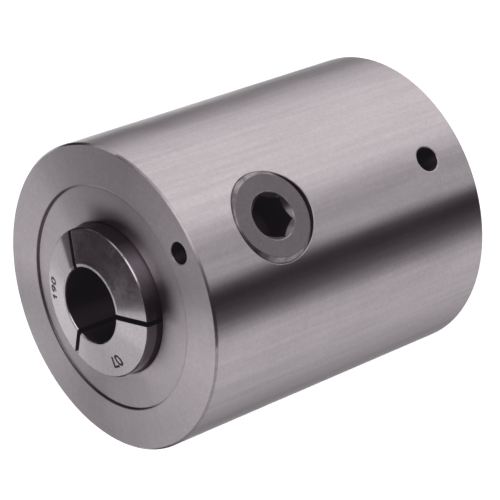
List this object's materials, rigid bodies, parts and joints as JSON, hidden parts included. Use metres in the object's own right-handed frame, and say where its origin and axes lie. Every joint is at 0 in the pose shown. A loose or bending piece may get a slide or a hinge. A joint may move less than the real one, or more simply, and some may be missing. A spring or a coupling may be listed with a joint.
{
  "type": "collet chuck",
  "caption": "Key-operated collet chuck: a side pinion turns a threaded draw gear that pulls a slit collet into a taper to grip round bar.",
  "frame": {"origin": "centre of the rear mounting face, on the chuck's axis", "axes": "+Z along the chuck's axis towards the collet's nose; the key pinion, its lock screw's hole and the bar hole are on -Y"},
  "size_m": [0.0776, 0.0776, 0.0973],
  "materials": {
    "body_steel": "ground and turned",
    "sleeve_steel": "hardened and ground",
    "black_screw": "black oxide",
    "pin_steel": "ground",
    "seal_rubber": "matte",
    "collet_steel": "hardened and ground",
    "gear_steel": "cut teeth, greased",
    "bearing_steel": "ground",
    "cage_steel": "pressed sheet",
    "bronze": "turned",
    "bush_steel": "turned",
    "spring_steel": "phosphated",
    "pinion_steel": "turned, hardened"
  },
  "bodies": {
    "chuck": {"body": "body_steel", "nose_sleeve": "sleeve_steel", "sleeve_screws": "black_screw", "sleeve_dowel": "pin_steel", "sleeve_seal": "seal_rubber", "collet_key": "black_screw", "bearing_front_washer": "bearing_steel", "rear_thrust_washer": "bronze", "rear_bush": "bush_steel", "bush_pin": "pin_steel", "bush_seal": "seal_rubber", "retaining_ring": "spring_steel", "pinion_screw": "black_screw"},
    "gear": {"draw_gear": "gear_steel", "bearing_rear_washer": "bearing_steel"},
    "cage": {"bearing_cage": "cage_steel", "bearing_needles": "bearing_steel"},
    "pinion": {"key_pinion": "pinion_steel"},
    "collet": {"collet": "collet_steel"}
  },
  "joints": [
    {"name": "gear_turn", "type": "hinge", "parent": "chuck", "child": "gear", "pos_m": [0, 0, 0.05], "axis": [0, 0, -1], "range_deg": [0, 4500]},
    {"name": "pinion_turn", "type": "hinge", "parent": "chuck", "child": "pinion", "pos_m": [0, -0.0384, 0.0654], "axis": [0, 1, 0], "range_deg": [0, 14250]},
    {"name": "collet_draw", "type": "slide", "parent": "chuck", "child": "collet", "axis": [0, 0, 1], "range_m": [0, 0.01588]},
    {"name": "cage_turn", "type": "hinge", "parent": "chuck", "child": "cage", "pos_m": [0, 0, 0.0495], "axis": [0, 0, -1], "range_deg": [0, 2250]}
  ],
  "couplings": [
    {"joint": "pinion_turn", "follows": "gear_turn", "ratio": 3.1667},
    {"joint": "collet_draw", "follows": "gear_turn", "m_per_rad": 0.00020213},
    {"joint": "cage_turn", "follows": "gear_turn", "ratio": 0.5}
  ]
}
